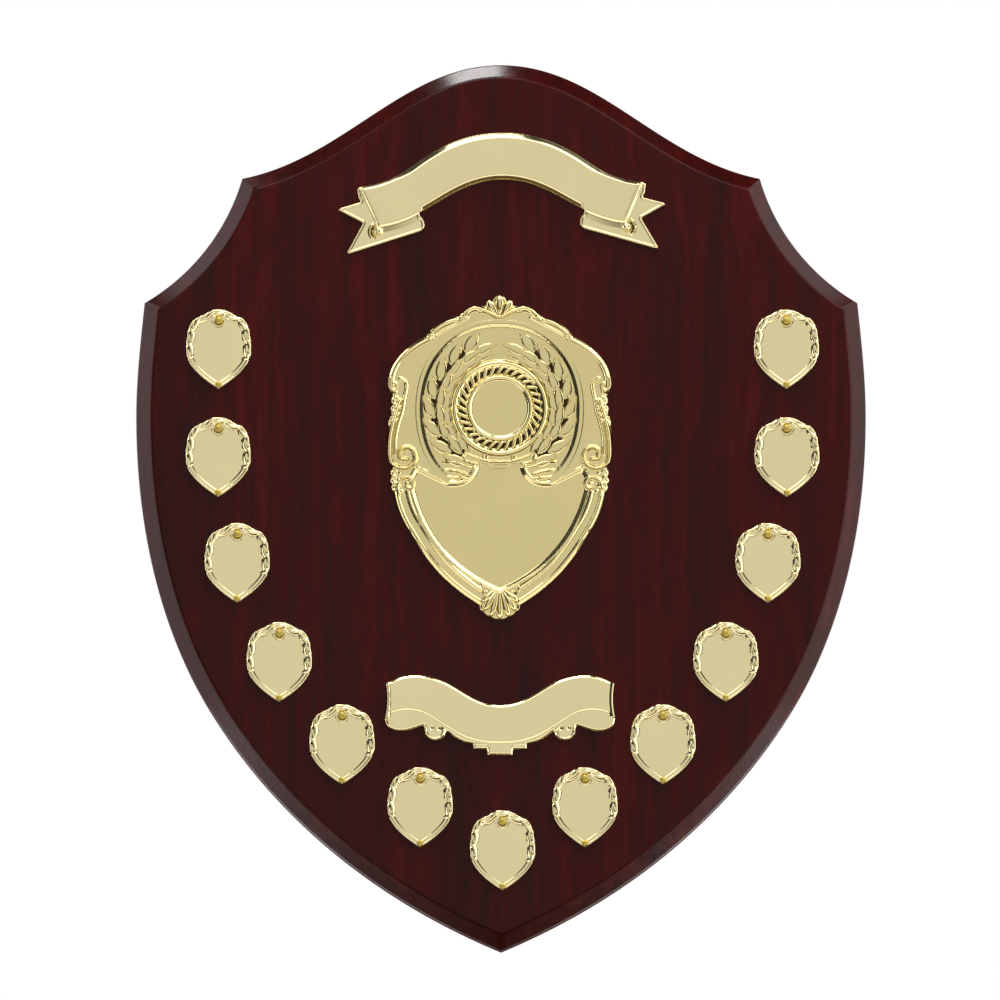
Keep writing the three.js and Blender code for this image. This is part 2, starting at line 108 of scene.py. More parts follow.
def lobes(ends, bulge):
    """A row of rounded lobes that bulge to the left of their run."""
    segments = []
    for (u0, v0), (u1, v1) in zip(ends, ends[1:]):
        side = 2 * bulge / math.hypot(u1 - u0, v1 - v0)
        segments.append([(u0 + u1) / 2 - (v1 - v0) * side, (v0 + v1) / 2 + (u1 - u0) * side, u1, v1])
    return segments


def smooth(points):
    """A smooth path through points, with six steps between each two."""
    p = np.array(points, float)
    p = np.vstack([2 * p[0] - p[1], p, 2 * p[-1] - p[-2]])
    out = []
    for a, b, c, d in zip(p, p[1:], p[2:], p[3:]):
        for t in np.arange(6) / 6:
            out.append(0.5 * (2 * b + (c - a) * t + (2 * a - 5 * b + 4 * c - d) * t ** 2
                              + (3 * b - a - 3 * c + d) * t ** 3))
    return np.array(out + [p[-2]])


def mirrored(half):
    """Closes a right half, drawn from the top of the axis to its foot, into an anticlockwise outline."""
    return np.vstack([half[::-1], half[1:-1] * (-1, 1)])


def flipped(path):
    return np.array(path) * (-1, 1)


def rightward(points):
    """The points, with those left of the axis mirrored to its right."""
    return points * np.where(points[:, :1] < 0, (-1, 1), (1, 1))


def arc(centre, radius, start, end, count=24):
    angles = np.radians(np.linspace(start, end, count))
    return np.column_stack([centre[0] + radius * np.cos(angles), centre[1] + radius * np.sin(angles)])


def directions(path):
    """Unit directions along a path and to its right."""
    along = np.gradient(path, axis=0)
    along /= np.hypot(*along.T)[:, None]
    return along, np.column_stack([along[:, 1], -along[:, 0]])


def spaced(path, count):
    """The same path with evenly spaced points."""
    way = np.concatenate([[0], np.cumsum(np.hypot(*np.diff(path, axis=0).T))])
    at = np.linspace(0, way[-1], count)
    return np.column_stack([np.interp(at, way, path[:, 0]), np.interp(at, way, path[:, 1])])


def nearest(path, points):
    """For each point: its distance to a path, the way along it in mm, its side and its foot on it."""
    best = np.full(len(points), np.inf)
    way, side, feet, before = np.zeros(len(points)), np.zeros(len(points)), np.zeros((len(points), 2)), 0.0
    for start, end in zip(path, path[1:]):
        run = end - start
        length = math.hypot(*run)
        if length < 1e-9:
            continue
        away = points - start
        share = np.clip(away @ run / length ** 2, 0, 1)
        foot = start + share[:, None] * run
        distance = np.hypot(*(points - foot).T)
        closer = distance < best
        best[closer] = distance[closer]
        way[closer] = before + share[closer] * length
        side[closer] = (run[0] * away[closer, 1] - run[1] * away[closer, 0])
        feet[closer] = foot[closer]
        before += length
    return best, way, np.sign(side), feet


def within(outline, points):
    """Whether each point lies inside a closed outline."""
    inside = np.zeros(len(points), bool)
    u, v = points.T
    for (u0, v0), (u1, v1) in zip(outline, np.roll(outline, -1, axis=0)):
        spans = (v0 > v) != (v1 > v)
        inside[spans] ^= u[spans] < (u1 - u0) * (v[spans] - v0) / (v1 - v0) + u0
    return inside


def depth_inside(outline, points):
    """Distance of each point to a closed outline, positive inside it, and the way along it."""
    distance, way, _, feet = nearest(np.vstack([outline, outline[:1]]), points)
    return np.where(within(outline, points), distance, -distance), way, feet


# Relief

class Relief:
    """Heights of a pressed plate over its plan points."""

    def __init__(self, points, ground):
        self.points = points
        self.h = np.full(len(points), float(ground))

    def close_to(self, path, reach):
        low, high = path.min(0) - reach, path.max(0) + reach
        return np.nonzero(np.all((self.points >= low) & (self.points <= high), axis=1))[0]

    def bead(self, path, half, top, foot=1.0, taper=0.0, both=True, soft=False):
        """Raises a bead along a path, round or softly swelling, thinner towards its ends where it tapers."""
        for line in ([path, flipped(path)] if both else [path]):
            near = self.close_to(line, half)
            if len(near) == 0:
                continue
            distance, way, _, _ = nearest(line, self.points[near])
            share = way / max(way.max(), 1e-9)
            wide = half * (1 - taper + taper * np.sin(np.pi * share))
            ratio = np.clip(distance / np.maximum(wide, 1e-6), 0, 1)
            swell = 0.5 + 0.5 * np.cos(np.pi * ratio) if soft else np.sqrt(1 - ratio ** 2)
            height = foot + (top - foot) * swell
            self.h[near] = np.where(ratio < 1, np.maximum(self.h[near], height), self.h[near])

    def lines(self, *lines):
        """Raises smooth beads, each given as (points, half width, top, foot)."""
        for points, half, top, foot in lines:
            self.bead(smooth(points), half, top, foot)

    def groove(self, path, half, depth):
        """Presses a soft line into the plate."""
        for line in (path, flipped(path)):
            near = self.close_to(line, 3 * half)
            distance = nearest(line, self.points[near])[0]
            self.h[near] -= depth * np.exp(-(distance / half) ** 2)

    def ratios(self, centre, radius):
        """Distances from a place and from its mirror image, in radii."""
        return [np.hypot(self.points[:, 0] - side * centre[0], self.points[:, 1] - centre[1]) / radius
                for side in (1, -1)]

    def knob(self, centre, radius, top, foot=1.0):
        """Raises a ball."""
        for ratio in self.ratios(centre, radius):
            height = foot + (top - foot) * np.sqrt(np.clip(1 - ratio ** 2, 0, 1))
            self.h = np.where(ratio < 1, np.maximum(self.h, height), self.h)

    def pit(self, centre, radius, depth):
        """Presses a round dent."""
        for ratio in self.ratios(centre, radius):
            self.h -= depth * np.exp(-ratio ** 2)


# Meshes

def linked(name, data):
    """A new object in the scene."""
    obj = bpy.data.objects.new(name, data)
    bpy.context.scene.collection.objects.link(obj)
    return obj


def built(name, build):
    """A mesh from a finished build."""
    mesh = bpy.data.meshes.new(name)
    build.to_mesh(mesh)
    build.free()
    return mesh


def softened(mesh, sharp):
    """The mesh with smooth faces, its edges sharp from an angle in degrees."""
    mesh.shade_smooth()
    mesh.set_sharp_from_angle(angle=math.radians(sharp))
    return mesh


def evaluated(obj):
    """The plain mesh that an object's modifiers make."""
    bpy.context.view_layer.update()
    return bpy.data.meshes.new_from_object(obj.evaluated_get(bpy.context.evaluated_depsgraph_get()))


def stacked(build, outlines):
    """A closed solid through a stack of (outline, height), all with the same number of points."""
    rings = [[build.verts.new((u, v, h)) for u, v in outline] for outline, h in outlines]
    for low, high in zip(rings, rings[1:]):
        for i in range(len(low)):
            j = (i + 1) % len(low)
            build.faces.new((low[i], low[j], high[j], high[i]))
    build.faces.new(rings[0][::-1])
    build.faces.new(rings[-1])


def plate_points(outline, pitch):
    """A grid of plan points inside an outline, with those along its rim moved onto it, and the faces
    between them."""
    low = outline.min(0) - pitch
    size = np.ceil((outline.max(0) + pitch - low) / pitch).astype(int) + 1
    u, v = np.meshgrid(*(low[i] + pitch * np.arange(size[i]) for i in (0, 1)), indexing="ij")
    points = np.column_stack([u.ravel(), v.ravel()])
    depth, _, feet = depth_inside(outline, points)
    rim = np.abs(depth) <= 0.5 * pitch
    points[rim] = feet[rim]
    runs = np.roll(outline, -1, axis=0) - outline
    turn = np.cross(np.roll(runs, 1, axis=0), runs) / np.maximum(
        np.hypot(*runs.T) * np.hypot(*np.roll(runs, 1, axis=0).T), 1e-9)
    for corner in outline[np.abs(turn) > 0.5]:
        candidates = np.nonzero(rim)[0]
        closest = candidates[np.argmin(np.hypot(*(points[candidates] - corner).T))]
        points[closest] = corner
    used = (depth > 0) | rim
    index = np.arange(len(points)).reshape(size)
    cells = np.stack([index[:-1, :-1], index[1:, :-1], index[1:, 1:], index[:-1, 1:]], axis=-1)
    cells = cells.reshape(-1, 4)
    corners = used[cells].sum(1)
    quads = cells[corners == 4]
    thirds = cells[corners == 3]
    triangles = [[c for c in cell if used[c]] for cell in thirds]
    faces = [list(q) for q in quads] + triangles
    kept = np.unique(np.concatenate([quads.ravel(), np.array(triangles, int).ravel()]))
    renumber = np.full(len(points), -1)
    renumber[kept] = np.arange(len(kept))
    return points[kept], [[int(renumber[c]) for c in face] for face in faces]


def plate_mesh(name, outline, heights, hollows=None):
    """A pressed plate: its relief, a wall around it and a flat back. Faces in its hollows take the second
    material, which paints shade there."""
    points, faces = plate_points(outline, PLATE_PITCH)
    h = heights(points)
    edges = dict.fromkeys((a, b) for face in faces for a, b in zip(face, face[1:] + face[:1]))
    border = {a: b for a, b in edges if (b, a) not in edges}
    # One light pass of smoothing, as pressing leaves no sharp edges
    ends = np.array(list(edges))
    total, links = np.zeros(len(points)), np.zeros(len(points))
    for a, b in (ends.T, ends.T[::-1]):
        np.add.at(total, a, h[b])
        np.add.at(links, a, 1)
    inner = np.ones(len(points), bool)
    inner[list(border)] = False
    h = np.where(inner, 0.6 * h + 0.4 * total / links, h)
    vertices = [(u, v, top) for (u, v), top in zip(points, h)]
    below = {a: len(vertices) + k for k, a in enumerate(border)}
    vertices += [(*points[a], 0.0) for a in border]
    walls = [[b, a, below[a], below[b]] for a, b in border.items()]
    backs = []
    left = dict(border)
    while left:
        start, current = next(iter(left.items()))
        loop = [start]
        del left[start]
        while current != start:
            loop.append(current)
            current = left.pop(current)
        backs.append([below[a] for a in reversed(loop)])
    mesh = bpy.data.meshes.new(name)
    mesh.from_pydata(vertices, [], faces + walls + backs)
    if hollows is not None:
        deep = hollows(points)
        index = [int(all(deep[i] for i in face)) for face in faces] + [0] * len(walls + backs)
        mesh.polygons.foreach_set("material_index", index)
    return softened(mesh, 75)


def hang(mesh, place, height=SEAT, tilt=0):
    """Takes a mesh from plan millimetres to its place on the board, in metres."""
    (u, v), turn = place, Matrix.Rotation(tilt, 4, "Z")
    stand = Matrix(((1, 0, 0, u), (0, 0, -1, -height), (0, 1, 0, v), (0, 0, 0, 1)))
    mesh.transform(Matrix.Scale(MM, 4) @ stand @ turn)
    mesh.update()
    return mesh


def piece(name, mesh, materials, nodes):
    """Adds a finished piece that stands for CAD nodes."""
    obj = linked(name, mesh)
    index = np.zeros(len(mesh.polygons), np.int32)
    mesh.polygons.foreach_get("material_index", index)
    mesh.materials.clear()
    for material in materials:
        mesh.materials.append(material)
    mesh.polygons.foreach_set("material_index", np.minimum(index, len(materials) - 1))
    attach(obj, "root")
    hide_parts(*nodes)


def joined(name, meshes):
    """One mesh from several."""
    build = bmesh.new()
    for mesh in meshes:
        build.from_mesh(mesh)
    return built(name, build)


# Rows along a path

def wire(links, *joins):
    """Links sockets, each join given as (from, output, to, input)."""
    for source, output, target, entry in joins:
        links.new(source.outputs[output], target.inputs[entry])


def new_tree(name, wanted, result):
    """A geometry tree with named inputs and one output."""
    tree = bpy.data.node_groups.new(name, "GeometryNodeTree")
    sockets = {}
    for label, kind in wanted:
        socket = tree.interface.new_socket(label, in_out="INPUT", socket_type="NodeSocket" + kind)
        sockets[label] = socket.identifier
    tree.interface.new_socket(result, in_out="OUTPUT", socket_type="NodeSocketGeometry")
    return tree, sockets, tree.nodes.new("NodeGroupInput"), tree.nodes.new("NodeGroupOutput")


def row_tree():
    """Sets copies of a small piece in a row along a path drawn in plan."""
    tree, sockets, given, result = new_tree("row_along_path", (
        ("Path", "Geometry"), ("Piece", "Object"), ("Count", "Int"), ("Lean", "Float"),
        ("First Size", "Float"), ("Last Size", "Float"), ("Lift", "Float"), ("Finish", "Material")), "Row")
    curve, spread, tangent, along, source, place, lift, real, finish = (
        tree.nodes.new("GeometryNode" + kind) for kind in (
            "MeshToCurve", "ResampleCurve", "InputTangent", "SplineParameter", "ObjectInfo",
            "InstanceOnPoints", "SetPosition", "RealizeInstances", "SetMaterial"))
    facing, lean, spin, grow, rise = (tree.nodes.new(kind) for kind in (
        "FunctionNodeAlignRotationToVector", "FunctionNodeRotateRotation", "FunctionNodeAxisAngleToRotation",
        "ShaderNodeMapRange", "ShaderNodeCombineXYZ"))
    facing.axis, facing.pivot_axis = "X", "Z"
    lean.rotation_space = "LOCAL"
    spin.inputs["Axis"].default_value = (0, 0, 1)
    wire(tree.links,
         (given, "Path", curve, "Mesh"), (curve, "Curve", spread, "Curve"), (given, "Count", spread, "Count"),
         (tangent, "Tangent", facing, "Vector"), (facing, "Rotation", lean, "Rotation"),
         (given, "Lean", spin, "Angle"), (spin, "Rotation", lean, "Rotate By"),
         (along, "Factor", grow, "Value"), (given, "First Size", grow, "To Min"),
         (given, "Last Size", grow, "To Max"), (given, "Piece", source, "Object"),
         (spread, "Curve", place, "Points"), (source, "Geometry", place, "Instance"),
         (lean, "Rotation", place, "Rotation"), (grow, "Result", place, "Scale"), (given, "Lift", rise, "Z"),
         (place, "Instances", real, "Geometry"), (real, "Geometry", lift, "Geometry"),
         (rise, "Vector", lift, "Offset"), (lift, "Geometry", finish, "Geometry"),
         (given, "Finish", finish, "Material"), (finish, "Geometry", result, "Row"))
    return tree, sockets


def set_out_tree():
    """Sets a copy of a piece on every marked point."""
    tree, sockets, given, result = new_tree("set_out_on_marks", (
        ("Marks", "Geometry"), ("Piece", "Object"), ("Size", "Float"), ("Finish", "Material")), "Set")
    source, place, real, finish = (tree.nodes.new("GeometryNode" + kind) for kind in (
        "ObjectInfo", "InstanceOnPoints", "RealizeInstances", "SetMaterial"))
    wire(tree.links,
         (given, "Marks", place, "Points"), (given, "Piece", source, "Object"),
         (source, "Geometry", place, "Instance"), (given, "Size", place, "Scale"),
         (place, "Instances", real, "Geometry"), (real, "Geometry", finish, "Geometry"),
         (given, "Finish", finish, "Material"), (finish, "Geometry", result, "Set"))
    return tree, sockets


ROW = row_tree()
SET_OUT = set_out_tree()


def grown(name, marks, tree_and_sockets, values):
    """Runs a tree on a mesh of marks and gives back the plain mesh that it makes."""
    tree, sockets = tree_and_sockets
    holder, pattern = linked(name, marks), linked(name + "_pattern", values["Piece"])
    modifier = holder.modifiers.new("set_out", "NODES")
    modifier.node_group = tree
    for label, value in values.items():
        modifier[sockets[label]] = pattern if label == "Piece" else value
    mesh = evaluated(holder)
    mesh.polygons.foreach_set("material_index", [0] * len(mesh.polygons))
    holder.modifiers.remove(modifier)
    bpy.data.objects.remove(holder)
    bpy.data.objects.remove(pattern)
    return mesh


def row(name, path, pattern, count, lean, sizes, lift, finish, closed=False):
    """A row of one small mesh along a plan path."""
    marks = bpy.data.meshes.new(name)
    edges = [(i, i + 1) for i in range(len(path) - 1)] + ([(len(path) - 1, 0)] if closed else [])
    marks.from_pydata([(u, v, 0) for u, v in path], edges, [])
    return grown(name, marks, ROW, {"Piece": pattern, "Count": count, "Lean": lean, "First Size": sizes[0],
                                    "Last Size": sizes[1], "Lift": lift, "Finish": finish})


def set_out(name, places, pattern, finish):
    """A copy of one small mesh on each of the places."""
    marks = bpy.data.meshes.new(name)
    marks.from_pydata(places, [], [])
    return grown(name, marks, SET_OUT, {"Piece": pattern, "Size": 1.0, "Finish": finish})


def flipped_mesh(mesh):
    """The mirror image of a plan mesh on the other side of the axis."""
    out = mesh.copy()
    out.transform(Matrix.Scale(-1, 4, (1, 0, 0)))
    out.flip_normals()
    return out


# Materials

def shader(name):
    material = bpy.data.materials.new(name)
    material.use_nodes = True
    nodes = material.node_tree.nodes
    return material, nodes, material.node_tree.links, nodes["Principled BSDF"]


def node(nodes, kind, **values):
    made = nodes.new(kind)
    for key, value in values.items():
        socket = made.inputs.get(key.replace("_", " "))
        if socket is not None:
            socket.default_value = value
        else:
            setattr(made, key, value)
    return made


def ramp(nodes, stops):
    """A colour ramp from stops of (position, colour)."""
    made = nodes.new("ShaderNodeValToRGB")
    elements = made.color_ramp.elements
    while len(elements) < len(stops):
        elements.new(0.5)
    for element, (position, colour) in zip(elements, stops):
        element.position = position
        element.color = (*colour, 1)
    return made


def noise(nodes, scale, detail, roughness=0.5):
    return node(nodes, "ShaderNodeTexNoise", Scale=scale, Detail=detail, Roughness=roughness)


def surface(nodes, links, bsdf, cloud, roughness, grain, bumps):
    """Roughness that varies between two values with one texture, and fine bumps from another."""
    shine = node(nodes, "ShaderNodeMapRange", To_Min=roughness[0], To_Max=roughness[1])
    bump = node(nodes, "ShaderNodeBump", Strength=bumps[0], Distance=bumps[1])
    wire(links, (cloud, "Fac", shine, "Value"), (shine, "Result", bsdf, "Roughness"),
         (grain, "Fac", bump, "Height"), (bump, "Normal", bsdf, "Normal"))


def rosewood(name, shade=1.0):
    """Dark red wood with straight upright grain under a thin lacquer, painted darker as shade where shade is
    low.
    """
    material, nodes, links, bsdf = shader(name)
    place = nodes.new("ShaderNodeTexCoord")
    stretch = node(nodes, "ShaderNodeMapping", Scale=(1.0, 1.0, 0.06))
    waver = noise(nodes, 14, 2)
    bend = node(nodes, "ShaderNodeMixRGB", blend_type="LINEAR_LIGHT", Fac=0.006)
    broad = noise(nodes, 80, 3, 0.55)
    fine = noise(nodes, 230, 5, 0.62)
    pores = noise(nodes, 900, 2)
    mix = node(nodes, "ShaderNodeMath", operation="MULTIPLY_ADD")
    half = node(nodes, "ShaderNodeMath", operation="MULTIPLY")
    mix.inputs[1].default_value = half.inputs[1].default_value = 0.5
    stops = ((0.36, (0.026, 0.0042, 0.0034)), (0.46, (0.041, 0.0036, 0.0026)),
             (0.54, (0.052, 0.0032, 0.0021)), (0.64, (0.078, 0.0037, 0.0022)))
    tone = ramp(nodes, [(at, tuple(c * shade for c in colour)) for at, colour in stops])
    dots = ramp(nodes, ((0.34, (0.66, 0.72, 0.78)), (0.44, (1, 1, 1))))
    dark = node(nodes, "ShaderNodeMixRGB", blend_type="MULTIPLY", Fac=0.6)
    wire(links,
         (place, "Object", stretch, "Vector"), (place, "Object", waver, "Vector"),
         (stretch, "Vector", bend, 1), (waver, "Color", bend, 2), (bend, 0, broad, "Vector"),
         (bend, 0, fine, "Vector"), (bend, 0, pores, "Vector"), (broad, "Fac", mix, 0),
         (fine, "Fac", half, 0), (half, 0, mix, 2), (mix, 0, tone, "Fac"), (pores, "Fac", dots, "Fac"),
         (tone, "Color", dark, 1), (dots, "Color", dark, 2), (dark, 0, bsdf, "Base Color"))
    surface(nodes, links, bsdf, fine, (0.17, 0.26), pores, (0.05, 0.0002))
    bsdf.inputs["IOR"].default_value = 1.21
    return material


def pressed_gold(name, tint, low, high):
    """Thin pressed metal with a pale gold plating."""
    material, nodes, links, bsdf = shader(name)
    place = nodes.new("ShaderNodeTexCoord")
    cloud = noise(nodes, 40, 3)
    grain = noise(nodes, 2400, 2)
    colour = ramp(nodes, ((0.35, tuple(c * 0.97 for c in tint)), (0.65, tint)))
    wire(links, (place, "Object", cloud, "Vector"), (place, "Object", grain, "Vector"),
         (cloud, "Fac", colour, "Fac"), (colour, "Color", bsdf, "Base Color"))
    surface(nodes, links, bsdf, cloud, (low, high), grain, (0.04, 0.00005))
    bsdf.inputs["Metallic"].default_value = 1.0
    return material


WOOD = rosewood("rosewood_lacquer")
# A darker copy of the wood: painted shade for the chamfer
SHADED_EDGE_WOOD = rosewood("rosewood_painted_edge_shade", 0.72)
GOLD = pressed_gold("pale_gold_plate", (0.85, 0.733, 0.402), 0.10, 0.15)
DEEP_GOLD = pressed_gold("deep_gold_plate", (0.765, 0.645, 0.305), 0.10, 0.15)
# Near-black metal that paints shade into the deepest hollows of the plates
HOLLOW_SHADE = pressed_gold("painted_hollow_shade", (0.045, 0.031, 0.011), 0.40, 0.55)
BRASS = pressed_gold("brass_pin", (0.54, 0.41, 0.09), 0.42, 0.52)


# Board

def board_runs():
    """The smooth runs of the board's right half: the crown, the notch and the side."""
    crown, tip = BOARD_HEIGHT / 2, -BOARD_HEIGHT / 2
    shoulder, ear, flank = np.array(SHOULDER), np.array(EAR), np.array(FLANK)
    widest = crown - WIDEST_DROP
    top = trace((0, crown), [
        [0.38 * shoulder[0], crown, 0.6 * shoulder[0], shoulder[1] + 9.6, *shoulder]], 160)
    chord = ear - shoulder
    rise = math.sqrt(NOTCH_RADIUS ** 2 - chord @ chord / 4)
    outward = np.array((-chord[1], chord[0])) / math.hypot(*chord)
    centre = (shoulder + ear) / 2 + outward * rise
    first, last = (math.atan2(*(p - centre)[::-1]) for p in (shoulder, ear))
    turn = (last - first + 3 * math.pi) % (2 * math.pi) - math.pi
    notch = arc(centre, NOTCH_RADIUS, math.degrees(first), math.degrees(first + turn), 100)
    side = trace(ear, [
        [(ear[0] + BOARD_HALF_WIDTH) / 2, ear[1] - 17.3, BOARD_HALF_WIDTH, widest + 16,
         BOARD_HALF_WIDTH, widest],
        [BOARD_HALF_WIDTH, widest - 54.1, flank[0] + 21.4, flank[1] + 34.7, *flank],
        [flank[0] - 27.4, flank[1] - 44.5, 0.47 * flank[0], tip + 26, 0, tip],
    ], 120)
    return top, notch, side


def crossing(first, second):
    """Where one run crosses the next, as positions along both."""
    gap = second[None, :-1] - first[:-1, None]
    r, s = np.diff(first, axis=0)[:, None], np.diff(second, axis=0)[None]
    across = np.cross(r, s)
    across = np.where(np.abs(across) < 1e-12, 1e-12, across)
    t, w = np.cross(gap, s) / across, np.cross(gap, r) / across
    hits = np.argwhere((t >= 0) & (t <= 1) & (w >= 0) & (w <= 1))
    i, j = hits[0]
    return i, j, first[i] + t[i, j] * (first[i + 1] - first[i])


def board_ring(distance):
    """The board's outline moved inwards, with its corners kept sharp."""
    runs = []
    for run in board_runs():
        along, inward = directions(run)
        moved = run + distance * inward
        if distance > 0:
            moved = np.vstack([moved[0] - 3 * along[0], moved, moved[-1] + 3 * along[-1]])
        runs.append(moved)
    if distance > 0:
        runs.append(np.array([[0.0, -BOARD_HEIGHT], [0.0, 0.0]]))
        for k in range(3):
            i, j, corner = crossing(*runs[k:k + 2])
            runs[k] = np.vstack([runs[k][:i + 1], corner])
            runs[k + 1] = np.vstack([corner, runs[k + 1][j + 1:]])
        runs[0] = runs[0][1:]
    half = np.vstack([spaced(runs[0], 60), spaced(runs[1], 40)[1:], spaced(runs[2], 130)[1:]])
    half[0, 0] = half[-1, 0] = 0
    return mirrored(half)


def keyhole_cutters():
    """The round mouth and the undercut slot of the keyhole, routed from the back."""
    mouth = BOARD_HEIGHT / 2 - KEYHOLE_DROP
    top = mouth + KEYHOLE_TRAVEL
    def slot(half):
        return np.vstack([[(-half, mouth)], [(half, mouth)], arc((0, top), half, 0, 180, 20)])
    parts = []
    for outline, low, high in (
            (arc((0, mouth), KEYHOLE_HEAD, 0, 348.75, 32), -1, KEYHOLE_DEPTH),
            (slot(KEYHOLE_NECK / 2), -1, KEYHOLE_LIP + 0.5),
            (slot(KEYHOLE_HEAD), KEYHOLE_LIP, KEYHOLE_DEPTH - 0.01)):
        build = bmesh.new()
        stacked(build, ((outline, low), (outline, high)))
        parts.append(linked("keyhole_cutter", built("keyhole_cutter", build)))
    return parts


def board():
    """The chamfered board, with softened arrises and its keyhole."""
    slope = CHAMFER_DEPTH / CHAMFER_WIDTH
    foot, top = BOARD_THICKNESS - CHAMFER_DEPTH, BOARD_THICKNESS
    levels = [(0.35, 0), (0.08, 0.08), (0, 0.35), (0, 0.9)]
    levels += [(0, foot - 0.9), (0, foot - 0.45), (0.1, foot - 0.05)]
    levels += [(d, foot + d * slope) for d in (0.4, 0.8, CHAMFER_WIDTH - 1.2, CHAMFER_WIDTH - 0.75)]
    levels += [(CHAMFER_WIDTH + d, top - drop) for d, drop in (
        (-0.3, 0.42), (0.1, 0.14), (0.55, 0), (1.2, 0))]
    build = bmesh.new()
    stacked(build, [(board_ring(d), h) for d, h in levels])
    blank = linked("board_blank", built("board", build))
    cutters = keyhole_cutters()
    for cutter in cutters:
        cut = blank.modifiers.new("keyhole", "BOOLEAN")
        cut.operation, cut.solver, cut.object = "DIFFERENCE", "EXACT", cutter
    out = softened(evaluated(blank), 40)
    for obj in cutters + [blank]:
        bpy.data.objects.remove(obj)
    # The chamfer's faces, neither on the front nor on the sides, take the darker wood as painted shade
    for face in out.polygons:
        face.material_index = int(0.3 < face.normal.z < 0.95)
    piece("wooden_board", hang(out, (0, 0), 0), [WOOD, SHADED_EDGE_WOOD], ["board"])


# Ribbon scrolls

def bevelled(depth, profile):
    """Height of a plate at a depth inside its edge, from a profile of (depth, height)."""
    return np.interp(depth, *zip(*profile))


def top_scroll():
    """The swallow-tailed ribbon, from the outlines of its band alone and of the whole."""
    crest = [14, 11.7, 26, 7.4, 38.4, -1.5], [46, -6.9, 53, -11.1, 64.6, -12.2]
    foot = [27, -19.6, 16, -10.3, 0, -10.3]
    band = mirrored(trace((0, 11.7), [*crest, [63.8, -14.7], [56.5, -31], FOLDED_EDGE, foot], 24))
    whole = mirrored(trace((0, 11.7), [
        *crest, [66.2, -13.2], [65.6, -17.4], [64.6, -19.2], [73.5, -21.7], [75, -22.3, 74.5, -23.4],
        [63.8, -29.2], [71, -42], [71.3, -43.4, 69.9, -43.5], [38, -33.9], [35.8, -33.2, 35.1, -31],
        [35.2, -28, 36.8, -26.6], [37.4, -25.4, 36.9, -24.5], foot,
    ], 24))
    def heights(points):
        depth = depth_inside(whole, points)[0]
        relief = Relief(points, 0)
        relief.h = bevelled(depth, ((0, 0.8), (0.2, 1.6), (0.5, 2.0), (0.85, 2.15), (1.15, 2.02),
                                    (1.45, 1.78), (1.8, 1.74)))
        fold = depth_inside(band, points)[0]
        # The bevel is wide above, narrower below and steep towards the ends
        reach = np.abs(points[:, 0])
        low_side = points[:, 1] < np.interp(reach, (0, 26, 38, 64), (0.5, -6, -14, -22))
        steep = np.where(low_side, 1.2, 1 + 0.5 * np.clip((reach - 42) / 8, 0, 1))
        over = bevelled(fold * steep, ((0, 0.9), (0.15, 1.1), (2.3, 2.85), (2.8, 3.05), (3.2, 3.12)))
        # The band rolls over at its ends and folds over its tails, so its bevel is narrow there
        end = nearest(np.array([[64.4, -13.2], [56.5, -31.0]]), rightward(points))[0]
        ends = bevelled(end, ((0, 2.3), (0.35, 2.85), (0.8, 3.15), (1.2, 3.2), (1.6, 3.0), (1.9, 2.85),
                              (2.3, 2.95), (2.9, 3.12)))
        tuck = nearest(trace((56.5, -31), [FOLDED_EDGE], 24), rightward(points))[0]
        tucked = bevelled(tuck, ((0, 2.75), (0.5, 3.0), (1.0, 3.12)))
        # The tail rolls out from beneath the band
        roll = 0.85 * np.clip(1 - np.maximum(-fold, 0) / 3.4, 0, 1) * (reach > 36) * (reach < 57)
        tail = relief.h + roll * np.clip(depth / 1.2, 0, 1)
        relief.h = np.select([fold <= 0, end < fold + 0.05, tuck < fold + 0.05], [tail, ends, tucked], over)
        relief.knob(CURL, 2.0, 3.9, 2.2)
        relief.pit(CURL_PIT, 0.5, 1.2)
        relief.groove(arc(CURL, 3.1, -60, 70), 0.4, 1.0)
        relief.bead(arc(CURL, 4.0, -70, 60), 0.6, 2.3, 1.7, soft=True)
        return relief.h
    # The curl's groove and its pit take painted shade
    def hollows(points):
        away = rightward(points) - CURL
        ring, angle = np.hypot(*away.T), np.degrees(np.arctan2(away[:, 1], away[:, 0]))
        outer = (np.abs(ring - 3.0) < 0.5) & (np.abs(angle - 5) < 58)
        return outer | (np.hypot(*(rightward(points) - CURL_PIT).T) < 0.6)
    mesh = hang(plate_mesh("scroll_plate", whole, heights, hollows), TOP_SCROLL_PLACE, tilt=TOP_SCROLL_TILT)
    piece("ribbon_top", mesh, [GOLD, HOLLOW_SHADE], ["top_scroll"])


